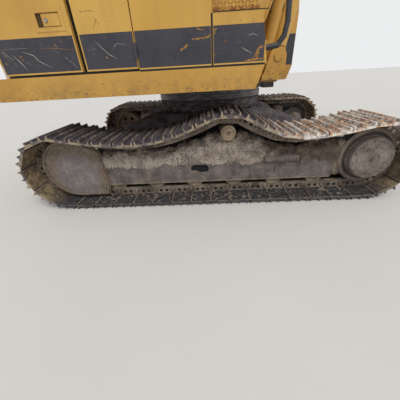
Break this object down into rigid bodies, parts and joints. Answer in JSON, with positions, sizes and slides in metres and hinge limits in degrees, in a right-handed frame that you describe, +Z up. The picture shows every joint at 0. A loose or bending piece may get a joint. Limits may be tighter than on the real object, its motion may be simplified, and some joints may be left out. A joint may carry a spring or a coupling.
{
  "type": "crawler excavator",
  "caption": "Crawler excavator with a bent boom, stick and toothed bucket, a closed cab, a domed counterweight, hinged side doors and slack shoe tracks; it swings all the way round.",
  "frame": {"origin": "on the ground under the middle of the slew ring", "axes": "+X the machine's front, along the boom; +Y its left side, the cab's; +Z up"},
  "size_m": [6.8972, 2.71, 4.963],
  "materials": {
    "yellow_paint": "semi-gloss, scratched",
    "earthy_steel": "matt, caked with dried earth",
    "track_steel": "worn, with light edges",
    "dark_paint": "semi-gloss",
    "exhaust_steel": "heat-tinted",
    "rod_chrome": "polished",
    "window_glass": "clear",
    "seat_cover": "woven"
  },
  "bodies": {
    "undercarriage": {"car_body": "earthy_steel", "right_track_frame": "earthy_steel", "left_track_frame": "earthy_steel", "right_track": "track_steel", "left_track": "track_steel", "lower_rollers": "track_steel", "carrier_rollers": "earthy_steel", "idlers": "track_steel", "sprockets": "track_steel", "final_drives": "earthy_steel", "idler_guards": "earthy_steel"},
    "upper": {"main_frame": "yellow_paint", "right_deck": "yellow_paint", "left_deck": "yellow_paint", "counterweight": "yellow_paint", "engine": "dark_paint", "engine_house": "yellow_paint", "house_roof": "yellow_paint", "exhaust": "exhaust_steel", "side_grille": "dark_paint", "tank": "yellow_paint", "tool_box": "yellow_paint", "grab_rail": "dark_paint", "cab_shell": "yellow_paint", "cab_glass": "window_glass", "seat": "seat_cover", "console": "dark_paint"},
    "engine_hood": {"engine_hood": "yellow_paint"},
    "rear_side_door": {"rear_side_door": "yellow_paint"},
    "pump_door": {"pump_door": "yellow_paint"},
    "radiator_door": {"radiator_door": "yellow_paint"},
    "cab_door": {"cab_door": "yellow_paint", "door_glass": "window_glass"},
    "boom": {"boom": "yellow_paint"},
    "boom_barrels": {"boom_barrels": "yellow_paint"},
    "boom_rods": {"boom_rods": "rod_chrome"},
    "stick": {"stick": "yellow_paint"},
    "stick_barrel": {"stick_barrel": "yellow_paint"},
    "stick_rod": {"stick_rod": "rod_chrome"},
    "bucket": {"bucket": "yellow_paint", "bucket_teeth": "track_steel"},
    "bucket_barrel": {"bucket_barrel": "yellow_paint"},
    "bucket_rod": {"bucket_rod": "rod_chrome"},
    "rocker": {"rocker": "yellow_paint"},
    "bucket_link": {"bucket_link": "yellow_paint"}
  },
  "joints": [
    {"name": "swing", "type": "hinge", "parent": "undercarriage", "child": "upper", "pos_m": [0, 0, 0.9], "axis": [0, 0, 1], "continuous": true},
    {"name": "boom_lift", "type": "hinge", "parent": "upper", "child": "boom", "pos_m": [0.4, 0, 1.45], "axis": [0, -1, 0], "range_deg": [-72, 12]},
    {"name": "stick_swing", "type": "hinge", "parent": "boom", "child": "stick", "pos_m": [3.87869, 0, 4.27743], "axis": [0, 1, 0], "range_deg": [-86, 16]},
    {"name": "bucket_curl", "type": "hinge", "parent": "stick", "child": "bucket", "pos_m": [3.97745, 0, 1.44915], "axis": [0, 1, 0], "range_deg": [-27, 103]},
    {"name": "boom_barrel_tilt", "type": "hinge", "parent": "upper", "child": "boom_barrels", "pos_m": [0.76, 0, 1.28], "axis": [0, -1, 0], "range_deg": [-80, 15]},
    {"name": "boom_rod_slide", "type": "slide", "parent": "boom_barrels", "child": "boom_rods", "axis": [0.2183, 0, 0.9759], "range_m": [-0.45, 0.08]},
    {"name": "stick_barrel_tilt", "type": "hinge", "parent": "boom", "child": "stick_barrel", "pos_m": [1.29782, 0, 3.70337], "axis": [0, 1, 0], "range_deg": [-1, 2]},
    {"name": "stick_rod_slide", "type": "slide", "parent": "stick_barrel", "child": "stick_rod", "axis": [0.9185, 0, 0.3954], "range_m": [-0.95, 0.17]},
    {"name": "bucket_barrel_tilt", "type": "hinge", "parent": "stick", "child": "bucket_barrel", "pos_m": [4.2622, 0, 3.61041], "axis": [0, 1, 0], "range_deg": [-1.5, 4]},
    {"name": "bucket_rod_slide", "type": "slide", "parent": "bucket_barrel", "child": "bucket_rod", "axis": [0.099, 0, -0.9951], "range_m": [-0.2, 0.72]},
    {"name": "rocker_turn", "type": "hinge", "parent": "stick", "child": "rocker", "pos_m": [4.01172, 0, 1.90063], "axis": [0, 1, 0], "range_deg": [-28, 104]},
    {"name": "link_turn", "type": "hinge", "parent": "rocker", "child": "bucket_link", "pos_m": [4.40491, 0, 2.17594], "axis": [0, 1, 0], "range_deg": [-104, 28]},
    {"name": "engine_hood_hinge", "type": "hinge", "parent": "upper", "child": "engine_hood", "pos_m": [-0.744, 0, 2.064], "axis": [0, 1, 0], "range_deg": [0, 70]},
    {"name": "rear_side_door_hinge", "type": "hinge", "parent": "upper", "child": "rear_side_door", "pos_m": [-1.7, -1.188, 1.6], "axis": [0, 0, -1], "range_deg": [0, 110]},
    {"name": "pump_door_hinge", "type": "hinge", "parent": "upper", "child": "pump_door", "pos_m": [-0.582, -1.217, 1.6], "axis": [0, 0, 1], "range_deg": [0, 110]},
    {"name": "radiator_door_hinge", "type": "hinge", "parent": "upper", "child": "radiator_door", "pos_m": [-1.7, 1.188, 1.6], "axis": [0, 0, 1], "range_deg": [0, 110]},
    {"name": "cab_door_hinge", "type": "hinge", "parent": "upper", "child": "cab_door", "pos_m": [0.02, 1.272, 2], "axis": [0, 0, 1], "range_deg": [0, 100]}
  ],
  "couplings": [
    {"joint": "boom_barrel_tilt", "follows": "boom_lift", "ratio": 1.09},
    {"joint": "boom_rod_slide", "follows": "boom_lift", "m_per_rad": 0.348},
    {"joint": "stick_barrel_tilt", "follows": "stick_swing", "ratio": -0.007},
    {"joint": "stick_rod_slide", "follows": "stick_swing", "m_per_rad": 0.551},
    {"joint": "bucket_barrel_tilt", "follows": "bucket_curl", "ratio": 0.03},
    {"joint": "bucket_rod_slide", "follows": "bucket_curl", "m_per_rad": 0.382},
    {"joint": "rocker_turn", "follows": "bucket_curl", "ratio": 1},
    {"joint": "link_turn", "follows": "bucket_curl", "ratio": -1}
  ]
}
